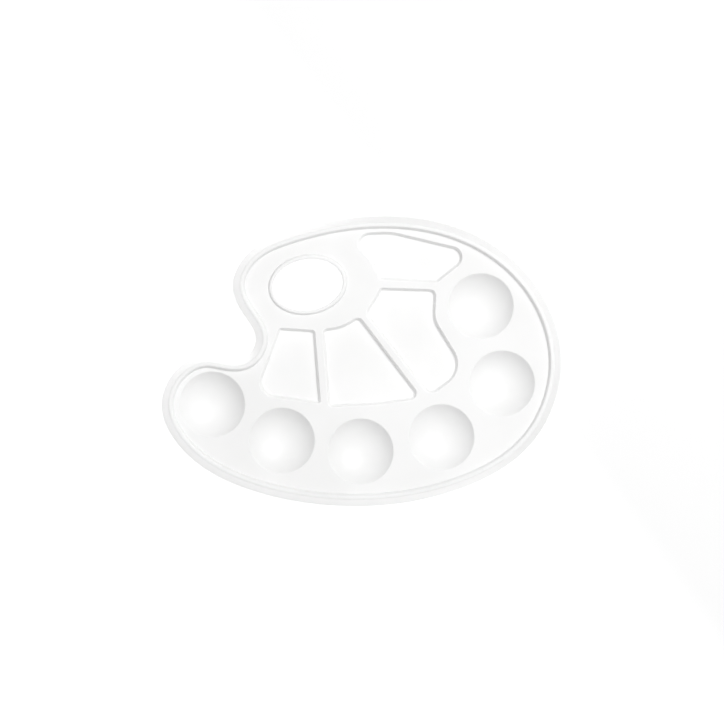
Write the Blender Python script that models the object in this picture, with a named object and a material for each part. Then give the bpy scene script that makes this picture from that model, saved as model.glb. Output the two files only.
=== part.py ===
"""Ten-well mixing palette: a white plastic tray with a rolled rim, +Z up.

It rests on Z = 0, on the lower edge of its skirt and on the feet of its six paint wells. The
origin is under the middle of the outline's box. +X runs along the palette towards its broad end,
and +Y across it, towards the side with the thumb hole. Its regions are one rigid moulding: each
is a closed solid of its own, and a hairline gap keeps it clear of its neighbours.
"""

import math

import bmesh
import bpy
import numpy as np

# Lengths below are in millimetres; MM turns them into the mesh's metres.
MM = 0.001

# Heights above the table, and the moulding's thickness.
HEIGHT = 13.0
DECK = 10.4
WALL = 1.4
UNDER = DECK - WALL
COLLAR_TOP = DECK + 1.5
GAP = 0.3

# The skirt's lower edge, counter-clockwise from the broad end: a smooth closed curve runs
# through these points. The four near (-66, 3) shape the finger notch.
OUTLINE = (
    (115.0, 1.0), (101.0, 42.5), (66.0, 72.2), (12.0, 83.6), (-42.0, 74.4), (-67.0, 60.6),
    (-74.2, 44.0), (-68.0, 27.0), (-61.0, 12.0), (-66.4, 3.0), (-77.0, 1.9), (-88.5, 3.6),
    (-104.0, -2.4), (-115.0, -25.0), (-104.0, -49.8), (-62.0, -74.8), (-4.0, -83.6),
    (56.0, -73.9), (98.0, -47.5),
)
OUTLINE_STEPS = 4

# The rim's closed section, as distances inside the outline and heights. It climbs the sloping
# skirt, rolls over the crest, drops to the deck and comes back under the roll.
RIM_WIDTH = 7.7
RIM_SECTION = (
    (0.0, 0.0), (3.2, HEIGHT - 1.4), (3.9, HEIGHT - 0.2), (4.9, HEIGHT), (6.0, HEIGHT - 0.4),
    (7.1, DECK + 0.4), (7.6, DECK), (RIM_WIDTH, DECK), (RIM_WIDTH, UNDER), (6.7, UNDER),
    (5.5, HEIGHT - 1.8), (1.5, 0.0),
)

# Round paint wells, in order round the edge: a spherical hollow in a thin shell on a flat foot.
WELL_CENTRES = (
    (-85.6, -24.9), (-45.6, -45.6), (-0.4, -51.8), (46.0, -43.6), (80.8, -12.8), (68.6, 31.6),
)
WELL_RADIUS = 18.8
WELL_DEPTH = 9.0
WELL_LIP = 0.5
FOOT_RADIUS = 6.0
WELL_SIDES = 26
WELL_RINGS = 4

# Flat mixing pans: each upper edge's corners and their radii, counter-clockwise.
PANS = (
    ((-47.3, 19.4, 2.5), (-62.0, -19.5, 9.5), (-23.0, -24.9, 2.0), (-26.4, 18.0, 2.5)),
    ((-22.5, 18.4, 3.0), (-19.0, -26.6, 3.0), (10.0, -25.3, 60.0), (35.2, -21.4, 4.0),
     (-1.0, 26.2, 4.0), (-11.5, 20.2, 24.0)),
    ((10.9, 42.4, 2.5), (2.0, 27.2, 5.0), (39.4, -20.6, 6.0), (60.3, -5.2, 14.0),
     (42.4, 24.0, 15.0), (43.2, 41.4, 4.0)),
    ((-1.9, 73.6, 6.5), (-1.9, 65.0, 3.0), (5.6, 57.4, 8.0), (10.2, 46.6, 2.5),
     (43.6, 44.8, 3.0), (66.0, 62.9, 6.5), (17.0, 74.6, 35.0)),
)
# A pan's section, as distances outside its upper edge and heights: from the floor up the wall to
# the deck, and back down below it.
PAN_DEPTH = 3.0
PAN_LIP = 0.5
PAN_SECTION = (
    (-1.7, DECK - PAN_DEPTH), (-1.2, DECK - PAN_DEPTH + 0.4), (-0.3, DECK - 0.5), (0.2, DECK),
    (PAN_LIP, DECK), (PAN_LIP, UNDER), (0.3, UNDER - 0.8), (-0.3, UNDER - PAN_DEPTH),
)
ARC_STEP = math.radians(24.0)

# The thumb hole: an oval at a slight angle. Its collar's closed section is given as distances
# outside the hole's wall and heights.
HOLE_CENTRE = (-30.7, 43.9)
HOLE_HALF_SIZES = (20.2, 14.6)
HOLE_ANGLE = math.radians(10.0)
HOLE_SIDES = 32
COLLAR_WIDTH = 3.3
COLLAR_SECTION = (
    (0.0, UNDER - 1.2), (WALL, UNDER - 1.2), (WALL + 0.2, UNDER), (COLLAR_WIDTH, UNDER),
    (COLLAR_WIDTH, DECK), (2.9, DECK), (2.0, COLLAR_TOP - 0.3), (1.4, COLLAR_TOP),
    (0.5, COLLAR_TOP), (0.0, COLLAR_TOP - 0.5),
)

WHITE = (0.92, 0.92, 0.91, 1.0)
ROUGHNESS = 0.32


def spline_loop(knots, steps):
    """Points and outward normals of the closed cubic spline through the knots."""
    knots = np.array(knots)
    count = len(knots)
    following = np.roll(knots, -1, axis=0)
    spans = np.linalg.norm(following - knots, axis=1)
    slopes = (following - knots) / spans[:, None]
    matrix = np.zeros((count, count))
    for i in range(count):
        matrix[i, i - 1] = spans[i - 1]
        matrix[i, i] = 2.0 * (spans[i - 1] + spans[i])
        matrix[i, (i + 1) % count] = spans[i]
    bends = np.linalg.solve(matrix, 6.0 * (slopes - np.roll(slopes, 1, axis=0)))
    points = []
    normals = []
    for i in range(count):
        after = (i + 1) % count
        for step in range(steps):
            t = step / steps
            s = 1.0 - t
            curve = (s ** 3 - s) * bends[i] + (t ** 3 - t) * bends[after]
            points.append(s * knots[i] + t * knots[after] + curve * spans[i] ** 2 / 6.0)
            turn = (3.0 * t ** 2 - 1.0) * bends[after] - (3.0 * s ** 2 - 1.0) * bends[i]
            tangent = slopes[i] + turn * spans[i] / 6.0
            tangent /= np.linalg.norm(tangent)
            normals.append((tangent[1], -tangent[0]))
    return np.array(points), np.array(normals)


def rounded_loop(corners, arc_step):
    """Points and outward normals of a closed outline with corners (x, y, radius)."""
    places = [np.array(corner[:2]) for corner in corners]
    points = []
    normals = []
    for i, place in enumerate(places):
        radius = corners[i][2]
        arriving = place - places[i - 1]
        arriving /= np.linalg.norm(arriving)
        leaving = places[(i + 1) % len(places)] - place
        leaving /= np.linalg.norm(leaving)
        cross = arriving[0] * leaving[1] - arriving[1] * leaving[0]
        turn = math.atan2(cross, float(arriving @ leaving))
        side = math.copysign(1.0, turn)
        outward = np.array((arriving[1], -arriving[0]))
        start = place - arriving * radius * math.tan(abs(turn) / 2.0)
        middle = start - side * radius * outward
        steps = max(2, math.ceil(abs(turn) / arc_step))
        for step in range(steps + 1):
            normal = turned(outward, turn * step / steps)
            points.append(middle + side * radius * normal)
            normals.append(normal)
    return np.array(points), np.array(normals)


def turned(vectors, angle):
    """One or more plane vectors, turned counter-clockwise."""
    cosine = math.cos(angle)
    sine = math.sin(angle)
    return vectors @ np.array(((cosine, sine), (-sine, cosine)))


def oval_loop(middle, half_sizes, angle, sides):
    """Points and outward normals of an ellipse turned by an angle."""
    turns = np.arange(sides) * 2.0 * math.pi / sides
    circle = np.stack((np.cos(turns), np.sin(turns)), axis=1)
    normals = circle * (half_sizes[1], half_sizes[0])
    normals /= np.linalg.norm(normals, axis=1)[:, None]
    return turned(circle * half_sizes, angle) + middle, turned(normals, angle)


def well_loop(middle):
    """The circle where a well meets the deck."""
    return oval_loop(middle, (WELL_RADIUS, WELL_RADIUS), 0.0, WELL_SIDES)


def hole_loop():
    """The thumb hole's wall."""
    return oval_loop(HOLE_CENTRE, HOLE_HALF_SIZES, HOLE_ANGLE, HOLE_SIDES)


def ring_at(loop, outward, height):
    """The loop moved outward and lifted to a height, in metres."""
    points, normals = loop
    return [(x * MM, y * MM, height * MM) for x, y in points + normals * outward]


def plastic(name):
    """Plain white moulded plastic."""
    material = bpy.data.materials.new(name)
    material.use_nodes = True
    shader = material.node_tree.nodes["Principled BSDF"]
    shader.inputs["Base Color"].default_value = WHITE
    shader.inputs["Roughness"].default_value = ROUGHNESS
    shader.inputs["Metallic"].default_value = 0.0
    return material


def finish_object(name, builder):
    """Turn a bmesh into a named object in its own plastic, with its round faces smooth."""
    bmesh.ops.recalc_face_normals(builder, faces=builder.faces)
    mesh = bpy.data.meshes.new(name)
    builder.to_mesh(mesh)
    builder.free()
    mesh.shade_smooth()
    mesh.set_sharp_from_angle(angle=math.radians(35.0))
    mesh.materials.append(plastic(name + "_plastic"))
    bpy.context.scene.collection.objects.link(bpy.data.objects.new(name, mesh))


def loft(name, rings, capped):
    """Join equal rings in turn; close with two caps, or by joining the last to the first."""
    builder = bmesh.new()
    rows = [[builder.verts.new(point) for point in ring] for ring in rings]
    pairs = list(zip(rows, rows[1:]))
    if capped:
        builder.faces.new(rows[0])
        builder.faces.new(rows[-1])
    else:
        pairs.append((rows[-1], rows[0]))
    for lower, upper in pairs:
        for i in range(len(lower)):
            builder.faces.new((lower[i - 1], lower[i], upper[i], upper[i - 1]))
    finish_object(name, builder)


def make_rim(outline):
    """The rolled rim: sloping skirt, rounded crest and the short wall down to the deck."""
    loft("rim", [ring_at(outline, -inset, height) for inset, height in RIM_SECTION], False)


def well_section():
    """A well's section as radii and heights: floor up to the deck, and back down to the foot."""
    inner = (WELL_RADIUS ** 2 + WELL_DEPTH ** 2) / (2.0 * WELL_DEPTH)
    outer = inner + WALL
    middle = DECK - WELL_DEPTH + inner
    hollow = sphere_section(inner, middle, 0.5 * FOOT_RADIUS, WELL_RADIUS - WELL_LIP)
    shell = sphere_section(outer, middle, FOOT_RADIUS + 0.5, WELL_RADIUS - 0.2)
    edge = WELL_RADIUS + WELL_LIP
    lip = [(edge - 0.2, DECK), (edge, DECK), (edge, UNDER)]
    return hollow + lip + shell[::-1] + [(FOOT_RADIUS, 0.0)]


def sphere_section(radius, middle, start, end):
    """Points on a sphere's lower half, evenly turned from one distance off its axis to another."""
    angles = np.linspace(math.asin(start / radius), math.asin(end / radius), WELL_RINGS + 1)
    return [(radius * math.sin(angle), middle - radius * math.cos(angle)) for angle in angles]


def make_wells():
    """Six round paint wells."""
    section = well_section()
    for number, middle in enumerate(WELL_CENTRES, start=1):
        loop = well_loop(middle)
        rings = [ring_at(loop, radius - WELL_RADIUS, height) for radius, height in section]
        loft(f"paint_well_{number}", rings, True)


def make_pans():
    """Four flat-floored mixing pans, sunk into the deck."""
    for number, corners in enumerate(PANS, start=1):
        loop = rounded_loop(corners, ARC_STEP)
        rings = [ring_at(loop, outward, height) for outward, height in PAN_SECTION]
        loft(f"mixing_pan_{number}", rings, True)


def make_collar():
    """The raised bead round the thumb hole."""
    rings = [ring_at(hole_loop(), outward, height) for outward, height in COLLAR_SECTION]
    loft("thumb_hole_collar", rings, False)


def make_deck(outline):
    """The flat web that joins the regions: a plate with an opening for each hollow."""
    loops = [ring_at(outline, -RIM_WIDTH - GAP, UNDER)]
    loops += [ring_at(well_loop(middle), WELL_LIP + GAP, UNDER) for middle in WELL_CENTRES]
    loops += [ring_at(rounded_loop(pan, ARC_STEP), PAN_LIP + GAP, UNDER) for pan in PANS]
    loops.append(ring_at(hole_loop(), COLLAR_WIDTH + GAP, UNDER))
    builder = bmesh.new()
    edges = []
    for loop in loops:
        row = [builder.verts.new(point) for point in loop]
        edges += [builder.edges.new((row[i - 1], row[i])) for i in range(len(row))]
    bmesh.ops.triangle_fill(builder, use_beauty=True, edges=edges, normal=(0.0, 0.0, 1.0))
    plate = bmesh.ops.extrude_face_region(builder, geom=list(builder.faces))
    lifted = [item for item in plate["geom"] if isinstance(item, bmesh.types.BMVert)]
    bmesh.ops.translate(builder, verts=lifted, vec=(0.0, 0.0, WALL * MM))
    finish_object("deck", builder)


def main():
    """Build the palette in an empty scene."""
    for obj in list(bpy.data.objects):
        bpy.data.objects.remove(obj, do_unlink=True)
    outline = spline_loop(OUTLINE, OUTLINE_STEPS)
    make_rim(outline)
    make_deck(outline)
    make_wells()
    make_pans()
    make_collar()


main()
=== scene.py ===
"""Fine model of the mixing palette: a one-shot white plastic moulding, drawn region by region.

Every region is a closed solid whose edge meets its neighbour's exactly, point for point, so the
surface runs on unbroken: rim, deck, six paint wells, four mixing pans and the thumb hole's collar.
"""

import math

import bmesh
import bpy
import numpy as np
from mathutils import Matrix, Vector


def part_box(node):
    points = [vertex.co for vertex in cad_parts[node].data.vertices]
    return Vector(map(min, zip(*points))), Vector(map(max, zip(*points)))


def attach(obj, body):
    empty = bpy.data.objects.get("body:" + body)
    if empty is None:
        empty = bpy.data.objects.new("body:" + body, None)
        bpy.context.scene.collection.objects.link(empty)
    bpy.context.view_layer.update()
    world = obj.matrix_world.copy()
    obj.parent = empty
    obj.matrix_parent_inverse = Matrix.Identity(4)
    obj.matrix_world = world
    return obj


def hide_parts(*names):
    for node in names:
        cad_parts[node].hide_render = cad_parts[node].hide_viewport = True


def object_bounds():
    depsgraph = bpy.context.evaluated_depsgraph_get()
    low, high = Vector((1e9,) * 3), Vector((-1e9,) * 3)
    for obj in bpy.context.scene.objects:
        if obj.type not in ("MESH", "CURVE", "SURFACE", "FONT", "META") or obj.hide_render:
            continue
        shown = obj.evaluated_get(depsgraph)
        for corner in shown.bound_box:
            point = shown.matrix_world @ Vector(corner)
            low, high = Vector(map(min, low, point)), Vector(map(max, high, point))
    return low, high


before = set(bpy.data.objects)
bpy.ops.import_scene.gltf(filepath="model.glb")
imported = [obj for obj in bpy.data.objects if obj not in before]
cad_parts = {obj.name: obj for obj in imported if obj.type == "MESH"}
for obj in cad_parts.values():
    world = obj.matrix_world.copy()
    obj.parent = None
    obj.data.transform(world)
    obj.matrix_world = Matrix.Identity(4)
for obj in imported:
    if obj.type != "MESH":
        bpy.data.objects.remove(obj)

CAD_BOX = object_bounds()

# The drawing below is in millimetres; MM turns it into the frame's metres.
MM = 0.001


def box_mm(node):
    """A CAD node's lowest and highest corners, in millimetres."""
    low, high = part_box(node)
    return np.array(low) / MM, np.array(high) / MM


# Heights, read from the frame.
HEIGHT = box_mm("rim")[1][2]
UNDER = box_mm("deck")[0][2]
DECK = box_mm("deck")[1][2]
WALL = DECK - UNDER
PAN_UNDER = box_mm("mixing_pan_1")[0][2]
PAN_FLOOR = PAN_UNDER + WALL
COLLAR_FOOT = box_mm("thumb_hole_collar")[0][2]
COLLAR_TOP = box_mm("thumb_hole_collar")[1][2]

# The skirt's lower edge: the closed curve that the CAD rim follows.
OUTLINE = (
    (115.0, 1.0), (101.0, 42.5), (66.0, 72.2), (12.0, 83.6), (-42.0, 74.4), (-67.0, 60.6),
    (-74.2, 44.0), (-68.0, 27.0), (-61.0, 12.0), (-66.4, 3.0), (-77.0, 1.9), (-88.5, 3.6),
    (-104.0, -2.4), (-115.0, -25.0), (-104.0, -49.8), (-62.0, -74.8), (-4.0, -83.6),
    (56.0, -73.9), (98.0, -47.5),
)
OUTLINE_STEPS = 30

# Each pan's upper edge: corners and their radii, counter-clockwise.
PANS = (
    ((-47.3, 19.4, 2.5), (-62.0, -19.5, 9.5), (-23.0, -24.9, 2.0), (-26.4, 18.0, 2.5)),
    ((-22.5, 18.4, 3.0), (-19.0, -26.6, 3.0), (10.0, -25.3, 60.0), (35.2, -21.4, 4.0),
     (-1.0, 26.2, 4.0), (-11.5, 20.2, 24.0)),
    ((10.9, 42.4, 2.5), (2.0, 27.2, 5.0), (39.4, -20.6, 6.0), (60.3, -5.2, 14.0),
     (42.4, 24.0, 15.0), (43.2, 41.4, 4.0)),
    ((-1.9, 73.6, 6.5), (-1.9, 65.0, 3.0), (5.6, 57.4, 8.0), (10.2, 46.6, 2.5),
     (43.6, 44.8, 3.0), (66.0, 62.9, 6.5), (17.0, 74.6, 35.0)),
)
PAN_LIP = 0.5

# Wells: six alike, with one radius and depth. Their places come from the frame. The fillet rounds
# the upper edge, and the foot is the flat disc underneath.
WELL_COUNT = 6
WELL_LIP = 0.5
WELL_EDGE = (box_mm("paint_well_1")[1][0] - box_mm("paint_well_1")[0][0]) / 2.0
WELL_RADIUS = WELL_EDGE - WELL_LIP
WELL_DEPTH = DECK - WALL
WELL_FILLET = 0.8
FOOT_RADIUS = 6.0
POLE_RING = 0.6
WELL_SIDES = 144

# The thumb hole's oval.
HOLE_HALF_SIZES = (20.2, 14.6)
HOLE_ANGLE = math.radians(10.0)
HOLE_SIDES = 180
COLLAR_WIDTH = 3.3

# How finely corners are rounded, along an outline and across a section.
OUTLINE_ARC = math.radians(5.0)
SECTION_ARC = math.radians(11.0)

# From the skirt's lower edge to where the rim meets the deck.
RIM_WIDTH = 7.7

# The studio. A glow is given on the side away from the key light and on the side towards it.
FLOOR_GLOW = (0.54, 0.0)
ROOM_GLOW = (0.59, 0.08)
KEY_DIRECTION = (0.48, 0.44, 1.0)
KEY_DISTANCE = 2.6
KEY_SIZE = 1.0
KEY_POWER = 48.3

# The camera: the picture's width over the palette's, the tilt off the vertical towards the
# lower left, and how far the camera stands from the middle in the picture's plane.
PICTURE_SHARE = 1.8123
LENS = 300.0
SENSOR = 36.0
CAMERA_TILT = math.radians(-0.5)
SHOWN_OFFSET = (0.4, -0.45)


# ---------------------------------------------------------------- outlines

def turned(vectors, angle):
    """One or more plane vectors, turned counter-clockwise."""
    cosine = math.cos(angle)
    sine = math.sin(angle)
    return vectors @ np.array(((cosine, sine), (-sine, cosine)))


def spline_loop(knots, steps):
    """Points and outward normals of the closed cubic spline through the knots."""
    knots = np.array(knots)
    count = len(knots)
    following = np.roll(knots, -1, axis=0)
    spans = np.linalg.norm(following - knots, axis=1)
    slopes = (following - knots) / spans[:, None]
    matrix = np.zeros((count, count))
    for i in range(count):
        matrix[i, i - 1] = spans[i - 1]
        matrix[i, i] = 2.0 * (spans[i - 1] + spans[i])
        matrix[i, (i + 1) % count] = spans[i]
    bends = np.linalg.solve(matrix, 6.0 * (slopes - np.roll(slopes, 1, axis=0)))
    points = []
    normals = []
    for i in range(count):
        after = (i + 1) % count
        for step in range(steps):
            t = step / steps
            s = 1.0 - t
            curve = (s ** 3 - s) * bends[i] + (t ** 3 - t) * bends[after]
            points.append(s * knots[i] + t * knots[after] + curve * spans[i] ** 2 / 6.0)
            turn = (3.0 * t ** 2 - 1.0) * bends[after] - (3.0 * s ** 2 - 1.0) * bends[i]
            tangent = slopes[i] + turn * spans[i] / 6.0
            tangent /= np.linalg.norm(tangent)
            normals.append((tangent[1], -tangent[0]))
    return np.array(points), np.array(normals)


def rounded_loop(corners, arc_step):
    """Points and outward normals of a closed outline with corners (x, y, radius)."""
    places = [np.array(corner[:2], float) for corner in corners]
    points = []
    normals = []
    for i, place in enumerate(places):
        radius = corners[i][2]
        arriving = place - places[i - 1]
        arriving /= np.linalg.norm(arriving)
        leaving = places[(i + 1) % len(places)] - place
        leaving /= np.linalg.norm(leaving)
        cross = arriving[0] * leaving[1] - arriving[1] * leaving[0]
        turn = math.atan2(cross, float(arriving @ leaving))
        side = math.copysign(1.0, turn)
        outward = np.array((arriving[1], -arriving[0]))
        start = place - arriving * radius * math.tan(abs(turn) / 2.0)
        middle = start - side * radius * outward
        steps = max(2, math.ceil(abs(turn) / arc_step)) if radius > 0.0 else 0
        for step in range(steps + 1):
            normal = turned(outward, turn * step / max(steps, 1))
            points.append(middle + side * radius * normal)
            normals.append(normal)
    return np.array(points), np.array(normals)


def oval_loop(middle, half_sizes, angle, sides):
    """Points and outward normals of an ellipse turned by an angle."""
    turns = np.arange(sides) * 2.0 * math.pi / sides
    circle = np.stack((np.cos(turns), np.sin(turns)), axis=1)
    normals = circle * (half_sizes[1], half_sizes[0])
    normals /= np.linalg.norm(normals, axis=1)[:, None]
    return turned(circle * half_sizes, angle) + middle, turned(normals, angle)


def middle_of(node):
    """The middle of a CAD node seen from above."""
    low, high = box_mm(node)
    return (low[:2] + high[:2]) / 2.0


def well_loop(number):
    """The circle of a well's edge."""
    middle = middle_of(f"paint_well_{number}")
    return oval_loop(middle, (WELL_RADIUS, WELL_RADIUS), 0.0, WELL_SIDES)


def hole_loop():
    """The thumb hole's wall."""
    return oval_loop(middle_of("thumb_hole_collar"), HOLE_HALF_SIZES, HOLE_ANGLE, HOLE_SIDES)


def ring_at(loop, outward, height):
    """The loop moved outward and lifted to a height, in metres."""
    points, normals = loop
    return [(x * MM, y * MM, height * MM) for x, y in points + normals * outward]


# ---------------------------------------------------------------- sections

def rim_section():
    """The rim's closed section, as distances inside the outline and heights, with real radii."""
    corners = (
        (0.0, 0.0, 0.3), (4.2, HEIGHT, 1.2), (6.3, HEIGHT, 0.9), (7.42, DECK, 0.38),
        (RIM_WIDTH, DECK, 0.0), (RIM_WIDTH, UNDER, 0.0), (6.6, UNDER, 0.4),
        (5.6, HEIGHT - 1.5, 0.4), (4.55, HEIGHT - 1.5, 0.4), (1.5, 0.0, 0.3),
    )
    return rounded_loop(corners, SECTION_ARC)[0]


def pan_section():
    """A pan's section, as distances outside its upper edge and heights: floor, wall, lip, and
    back below the deck to the underside of the floor."""
    corners = (
        (-6.0, PAN_FLOOR, 0.0), (-1.5, PAN_FLOOR, 0.55), (-0.2, DECK, 0.55),
        (PAN_LIP, DECK, 0.0), (PAN_LIP, UNDER, 0.0), (0.1, PAN_UNDER + 0.6, 0.2),
        (-0.5, PAN_UNDER, 0.4), (-6.0, PAN_UNDER, 0.0),
    )
    section = rounded_loop(corners, SECTION_ARC)[0]
    return section[1:-1]


def collar_section():
    """The collar's closed section, as distances outside the hole's wall and heights."""
    corners = (
        (0.0, COLLAR_FOOT, 0.4), (WALL, COLLAR_FOOT, 0.4), (WALL + 0.15, UNDER, 0.3),
        (COLLAR_WIDTH, UNDER, 0.0), (COLLAR_WIDTH, DECK, 0.0), (2.75, DECK, 0.4),
        (1.85, COLLAR_TOP, 0.6), (0.0, COLLAR_TOP, 0.7),
    )
    return rounded_loop(corners, SECTION_ARC)[0]


def sphere_arc(radius, middle, start, end, rings):
    """Points on a sphere's lower half, evenly turned from one distance off its axis to another."""
    angles = np.linspace(math.asin(start / radius), math.asin(end / radius), rings)
    return [(radius * math.sin(angle), middle - radius * math.cos(angle)) for angle in angles]


def well_section():
    """A well's section, as radii and heights: hollow, rounded edge, lip, shell and foot."""
    inner = (WELL_RADIUS ** 2 + WELL_DEPTH ** 2) / (2.0 * WELL_DEPTH)
    middle = DECK - WELL_DEPTH + inner
    # The edge's fillet rolls between the hollow's sphere and the deck.
    rise = middle - (DECK - WELL_FILLET)
    centre = math.sqrt((inner + WELL_FILLET) ** 2 - rise ** 2)
    touch = centre * inner / (inner + WELL_FILLET)
    hollow = sphere_arc(inner, middle, POLE_RING, touch, 30)
    first = math.atan2(rise, centre)
    fillet = []
    for angle in np.linspace(math.pi - first, math.pi / 2.0, 8)[1:]:
        across = centre + WELL_FILLET * math.cos(angle)
        fillet.append((across, DECK - WELL_FILLET + WELL_FILLET * math.sin(angle)))
    lip = [(WELL_EDGE, DECK), (WELL_EDGE, UNDER)]
    outer = inner + WALL
    shell = sphere_arc(outer, middle, FOOT_RADIUS + 0.7, WELL_RADIUS - 0.2, 16)
    foot = [(FOOT_RADIUS + 0.3, 0.5), (FOOT_RADIUS + 0.15, 0.2), (FOOT_RADIUS - 0.1, 0.04),
            (FOOT_RADIUS - 0.4, 0.0)]
    return hollow + fillet + lip + shell[::-1] + foot


# ---------------------------------------------------------------- meshes

def finish_piece(name, builder, material, node):
    """Turn a bmesh into a shaded piece that stands for a CAD node."""
    bmesh.ops.recalc_face_normals(builder, faces=builder.faces)
    mesh = bpy.data.meshes.new(name)
    builder.to_mesh(mesh)
    builder.free()
    mesh.shade_smooth()
    mesh.set_sharp_from_angle(angle=math.radians(40.0))
    mesh.materials.append(material)
    piece = bpy.data.objects.new(name, mesh)
    bpy.context.scene.collection.objects.link(piece)
    weighted = piece.modifiers.new("flat_faces_stay_flat", "WEIGHTED_NORMAL")
    weighted.keep_sharp = True
    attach(piece, "root")
    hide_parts(node)
    return piece


def loft(rings, caps):
    """Join equal rings in turn. caps: None joins the last ring to the first, "flat" fills both
    ends, and "pole" closes the first ring with a fan round its middle and fills the other."""
    builder = bmesh.new()
    rows = [[builder.verts.new(point) for point in ring] for ring in rings]
    pairs = list(zip(rows, rows[1:]))
    if caps is None:
        pairs.append((rows[-1], rows[0]))
    else:
        builder.faces.new(rows[-1])
    if caps == "flat":
        builder.faces.new(rows[0])
    if caps == "pole":
        middle = sum((vert.co for vert in rows[0]), Vector()) / len(rows[0])
        middle.z = (DECK - WELL_DEPTH) * MM
        pole = builder.verts.new(middle)
        for i in range(len(rows[0])):
            builder.faces.new((rows[0][i - 1], rows[0][i], pole))
    for lower, upper in pairs:
        for i in range(len(lower)):
            builder.faces.new((lower[i - 1], lower[i], upper[i], upper[i - 1]))
    return builder


def make_rim(material, outline):
    """The rolled rim and its sloping skirt."""
    rings = [ring_at(outline, -inset, height) for inset, height in rim_section()]
    finish_piece("rim_roll", loft(rings, None), material, "rim")


def make_wells(material):
    """Six spherical paint wells, each with a rounded edge and a small foot."""
    section = well_section()
    for number in range(1, WELL_COUNT + 1):
        loop = well_loop(number)
        rings = [ring_at(loop, radius - WELL_RADIUS, height) for radius, height in section]
        finish_piece(f"well_bowl_{number}", loft(rings, "pole"), material,
                     f"paint_well_{number}")


def make_pans(material):
    """Four flat-floored mixing pans."""
    section = pan_section()
    for number, corners in enumerate(PANS, start=1):
        loop = rounded_loop(corners, OUTLINE_ARC)
        rings = [ring_at(loop, outward, height) for outward, height in section]
        finish_piece(f"pan_tray_{number}", loft(rings, "flat"), material,
                     f"mixing_pan_{number}")


def make_collar(material):
    """The raised bead round the thumb hole."""
    rings = [ring_at(hole_loop(), outward, height) for outward, height in collar_section()]
    finish_piece("thumb_collar_bead", loft(rings, None), material, "thumb_hole_collar")


def make_deck(material, outline):
    """The flat web between the hollows, with an opening for each."""
    loops = [ring_at(outline, -RIM_WIDTH, UNDER)]
    loops += [ring_at(well_loop(number), WELL_LIP, UNDER) for number in range(1, WELL_COUNT + 1)]
    loops += [ring_at(rounded_loop(corners, OUTLINE_ARC), PAN_LIP, UNDER) for corners in PANS]
    loops.append(ring_at(hole_loop(), COLLAR_WIDTH, UNDER))
    builder = bmesh.new()
    edges = []
    for loop in loops:
        row = [builder.verts.new(point) for point in loop]
        edges += [builder.edges.new((row[i - 1], row[i])) for i in range(len(row))]
    bmesh.ops.triangle_fill(builder, use_beauty=True, edges=edges, normal=(0.0, 0.0, 1.0))
    plate = bmesh.ops.extrude_face_region(builder, geom=list(builder.faces))
    for item in plate["geom"]:
        if isinstance(item, bmesh.types.BMVert):
            item.co.z = DECK * MM
    finish_piece("deck_web", builder, material, "deck")


# ---------------------------------------------------------------- material

def add_node(tree, kind, settings=(), inputs=()):
    """A shader node with some of its settings and inputs filled in."""
    node = tree.nodes.new(kind)
    for key, value in dict(settings).items():
        setattr(node, key, value)
    for key, value in dict(inputs).items():
        node.inputs[key].default_value = value
    return node


def noise(tree, place, size_mm, detail=2.0, roughness=0.5):
    """Noise whose features are about size_mm across."""
    node = add_node(tree, "ShaderNodeTexNoise", inputs={
        "Scale": 1.0 / (size_mm * MM), "Detail": detail, "Roughness": roughness})
    tree.links.new(place, node.inputs["Vector"])
    return node.outputs["Fac"]


def remap(tree, value, from_range, to_range):
    """The value mapped smoothly from one range to another."""
    node = add_node(tree, "ShaderNodeMapRange", {"interpolation_type": "SMOOTHSTEP"}, {
        "From Min": from_range[0], "From Max": from_range[1],
        "To Min": to_range[0], "To Max": to_range[1]})
    tree.links.new(value, node.inputs["Value"])
    return node.outputs["Result"]


def combine(tree, operation, first, second):
    """Two values put together by a math operation."""
    node = add_node(tree, "ShaderNodeMath", {"operation": operation})
    for index, value in enumerate((first, second)):
        if isinstance(value, (int, float)):
            node.inputs[index].default_value = value
        else:
            tree.links.new(value, node.inputs[index])
    return node.outputs["Value"]


def gradient(tree, place, direction, distances, values):
    """A value that changes smoothly with the distance along a direction."""
    along = add_node(tree, "ShaderNodeVectorMath", {"operation": "DOT_PRODUCT"})
    along.inputs[1].default_value = direction
    tree.links.new(place, along.inputs[0])
    return remap(tree, along.outputs["Value"], distances, values)


def bump(tree, height, strength, depth_mm, previous=None):
    """A bump of a given depth, on top of an earlier one."""
    node = add_node(tree, "ShaderNodeBump", inputs={
        "Strength": strength, "Distance": depth_mm * MM})
    tree.links.new(height, node.inputs["Height"])
    if previous is not None:
        tree.links.new(previous, node.inputs["Normal"])
    return node.outputs["Normal"]


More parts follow.
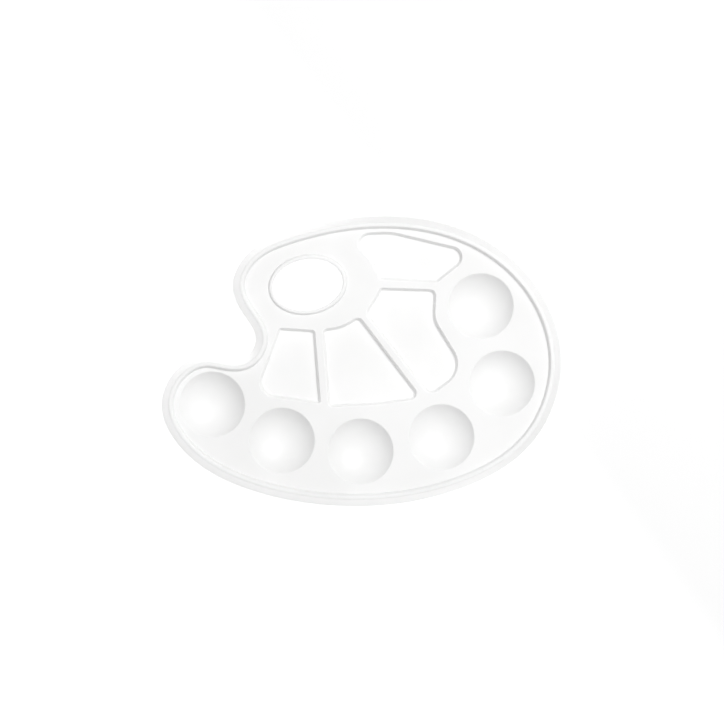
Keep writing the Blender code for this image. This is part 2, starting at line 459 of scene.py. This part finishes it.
def moulded_plastic(name, lightness):
    """Semi-gloss white plastic: faint flow marks, moulded grain, and scuffs where it rubs."""
    material = bpy.data.materials.new(name)
    material.use_nodes = True
    tree = material.node_tree
    shader = tree.nodes["Principled BSDF"]
    coordinates = tree.nodes.new("ShaderNodeTexCoord")
    place = coordinates.outputs["Object"]
    height = tree.nodes.new("ShaderNodeSeparateXYZ")
    tree.links.new(place, height.inputs["Vector"])
    up = height.outputs["Z"]

    flow = noise(tree, place, 45.0, detail=3.0)
    grain = noise(tree, place, 2.2, detail=2.0)
    # Scuffs sit on the crest, which rubs in use, and on the skirt's lower edge and the feet.
    crest = remap(tree, up, ((HEIGHT - 0.9) * MM, (HEIGHT - 0.1) * MM), (0.0, 1.0))
    base = remap(tree, up, (0.2 * MM, 0.9 * MM), (1.0, 0.0))
    rubbed = combine(tree, "MAXIMUM", crest, base)
    scuff_spots = remap(tree, noise(tree, place, 3.2, detail=6.0, roughness=0.7),
                        (0.48, 0.68), (0.0, 1.0))
    scuffs = combine(tree, "MULTIPLY", rubbed, scuff_spots)

    tint = add_node(tree, "ShaderNodeMix", {"data_type": "RGBA"})
    tint.inputs["A"].default_value = (lightness - 0.02, lightness - 0.02, lightness - 0.024, 1.0)
    tint.inputs["B"].default_value = (lightness + 0.01, lightness + 0.01, lightness + 0.008, 1.0)
    tree.links.new(remap(tree, flow, (0.3, 0.7), (0.0, 1.0)), tint.inputs["Factor"])
    worn = add_node(tree, "ShaderNodeMix", {"data_type": "RGBA"})
    worn.inputs["B"].default_value = (0.86, 0.86, 0.855, 1.0)
    tree.links.new(tint.outputs["Result"], worn.inputs["A"])
    tree.links.new(combine(tree, "MULTIPLY", scuffs, 0.6), worn.inputs["Factor"])
    tree.links.new(worn.outputs["Result"], shader.inputs["Base Color"])

    gloss = remap(tree, flow, (0.3, 0.7), (0.32, 0.37))
    gloss = combine(tree, "ADD", gloss, remap(tree, grain, (0.3, 0.7), (-0.02, 0.02)))
    gloss = combine(tree, "ADD", gloss, combine(tree, "MULTIPLY", scuffs, 0.22))
    tree.links.new(gloss, shader.inputs["Roughness"])

    normal = bump(tree, flow, 0.35, 0.25)
    normal = bump(tree, grain, 0.25, 0.015, normal)
    tree.links.new(normal, shader.inputs["Normal"])

    shader.inputs["Metallic"].default_value = 0.0
    shader.inputs["IOR"].default_value = 1.49
    return material


# ---------------------------------------------------------------- studio

def make_floor():
    """A plain white table top with a glow that fades towards the key light."""
    material = bpy.data.materials.new("white_floor")
    material.use_nodes = True
    tree = material.node_tree
    shader = tree.nodes["Principled BSDF"]
    shader.inputs["Base Color"].default_value = (0.93, 0.93, 0.93, 1.0)
    shader.inputs["Roughness"].default_value = 0.9
    shader.inputs["Specular IOR Level"].default_value = 0.1
    shader.inputs["Emission Color"].default_value = (1.0, 1.0, 1.0, 1.0)
    coordinates = tree.nodes.new("ShaderNodeTexCoord")
    glow = gradient(tree, coordinates.outputs["Object"], (0.8, 0.6, 0.0), (0.0, 80.0 * MM),
                    FLOOR_GLOW)
    tree.links.new(glow, shader.inputs["Emission Strength"])
    mesh = bpy.data.meshes.new("floor")
    half = 3.0
    corners = [(-half, -half, 0.0), (half, -half, 0.0), (half, half, 0.0), (-half, half, 0.0)]
    mesh.from_pydata(corners, [], [(0, 1, 2, 3)])
    mesh.materials.append(material)
    floor = bpy.data.objects.new("floor", mesh)
    floor.location.z = CAD_BOX[0].z - 0.02 * MM
    bpy.context.scene.collection.objects.link(floor)


def add_light(name, direction, distance, size, power):
    """A square soft box that shines at the palette from a direction."""
    data = bpy.data.lights.new(name, "AREA")
    data.shape = "SQUARE"
    data.size = size
    data.energy = power
    light = bpy.data.objects.new(name, data)
    away = Vector(direction).normalized()
    light.location = away * distance
    light.rotation_mode = "QUATERNION"
    light.rotation_quaternion = away.to_track_quat("Z", "Y")
    bpy.context.scene.collection.objects.link(light)


def make_studio():
    """White room light, a key soft box at the upper right, and a plain tone curve."""
    world = bpy.data.worlds.new("studio")
    world.use_nodes = True
    tree = world.node_tree
    background = tree.nodes["Background"]
    background.inputs["Color"].default_value = (1.0, 1.0, 1.0, 1.0)
    # The wall below the key light is dimmer than the rest of the room.
    coordinates = tree.nodes.new("ShaderNodeTexCoord")
    glow = gradient(tree, coordinates.outputs["Generated"], (0.6, 0.8, -0.2), (-0.05, 0.6),
                    ROOM_GLOW)
    tree.links.new(glow, background.inputs["Strength"])
    scene = bpy.context.scene
    scene.world = world
    scene.view_settings.view_transform = "Standard"
    scene.view_settings.look = "None"
    add_light("key", KEY_DIRECTION, KEY_DISTANCE, KEY_SIZE, KEY_POWER)


def make_camera():
    """A long lens almost straight above, tilted slightly towards the palette's lower left."""
    data = bpy.data.cameras.new("camera")
    data.lens = LENS
    data.sensor_width = SENSOR
    distance = (CAD_BOX[1].x - CAD_BOX[0].x) * PICTURE_SHARE * LENS / SENSOR
    back = Vector((math.tan(CAMERA_TILT), math.tan(CAMERA_TILT), 1.0)).normalized()
    right = Vector((0.0, 1.0, 0.0)).cross(back).normalized()
    up = back.cross(right)
    target = (right * SHOWN_OFFSET[0] + up * SHOWN_OFFSET[1]) * MM
    camera = bpy.data.objects.new("camera", data)
    turn = Matrix((right, up, back)).transposed().to_4x4()
    camera.matrix_world = Matrix.Translation(target + back * distance) @ turn
    bpy.context.scene.collection.objects.link(camera)
    bpy.context.scene.camera = camera


def main():
    """Make the palette, its studio and the camera."""
    satin = moulded_plastic("moulded_white_plastic", 0.905)
    # The pans use a copy of the same plastic that differs only in a lighter colour: painted light
    # that makes their floors brighter than the deck.
    pan_painted_light = moulded_plastic("white_plastic_painted_light", 0.93)
    outline = spline_loop(OUTLINE, OUTLINE_STEPS)
    make_rim(satin, outline)
    make_deck(satin, outline)
    make_wells(satin)
    make_pans(pan_painted_light)
    make_collar(satin)
    make_floor()
    make_studio()
    make_camera()


main()
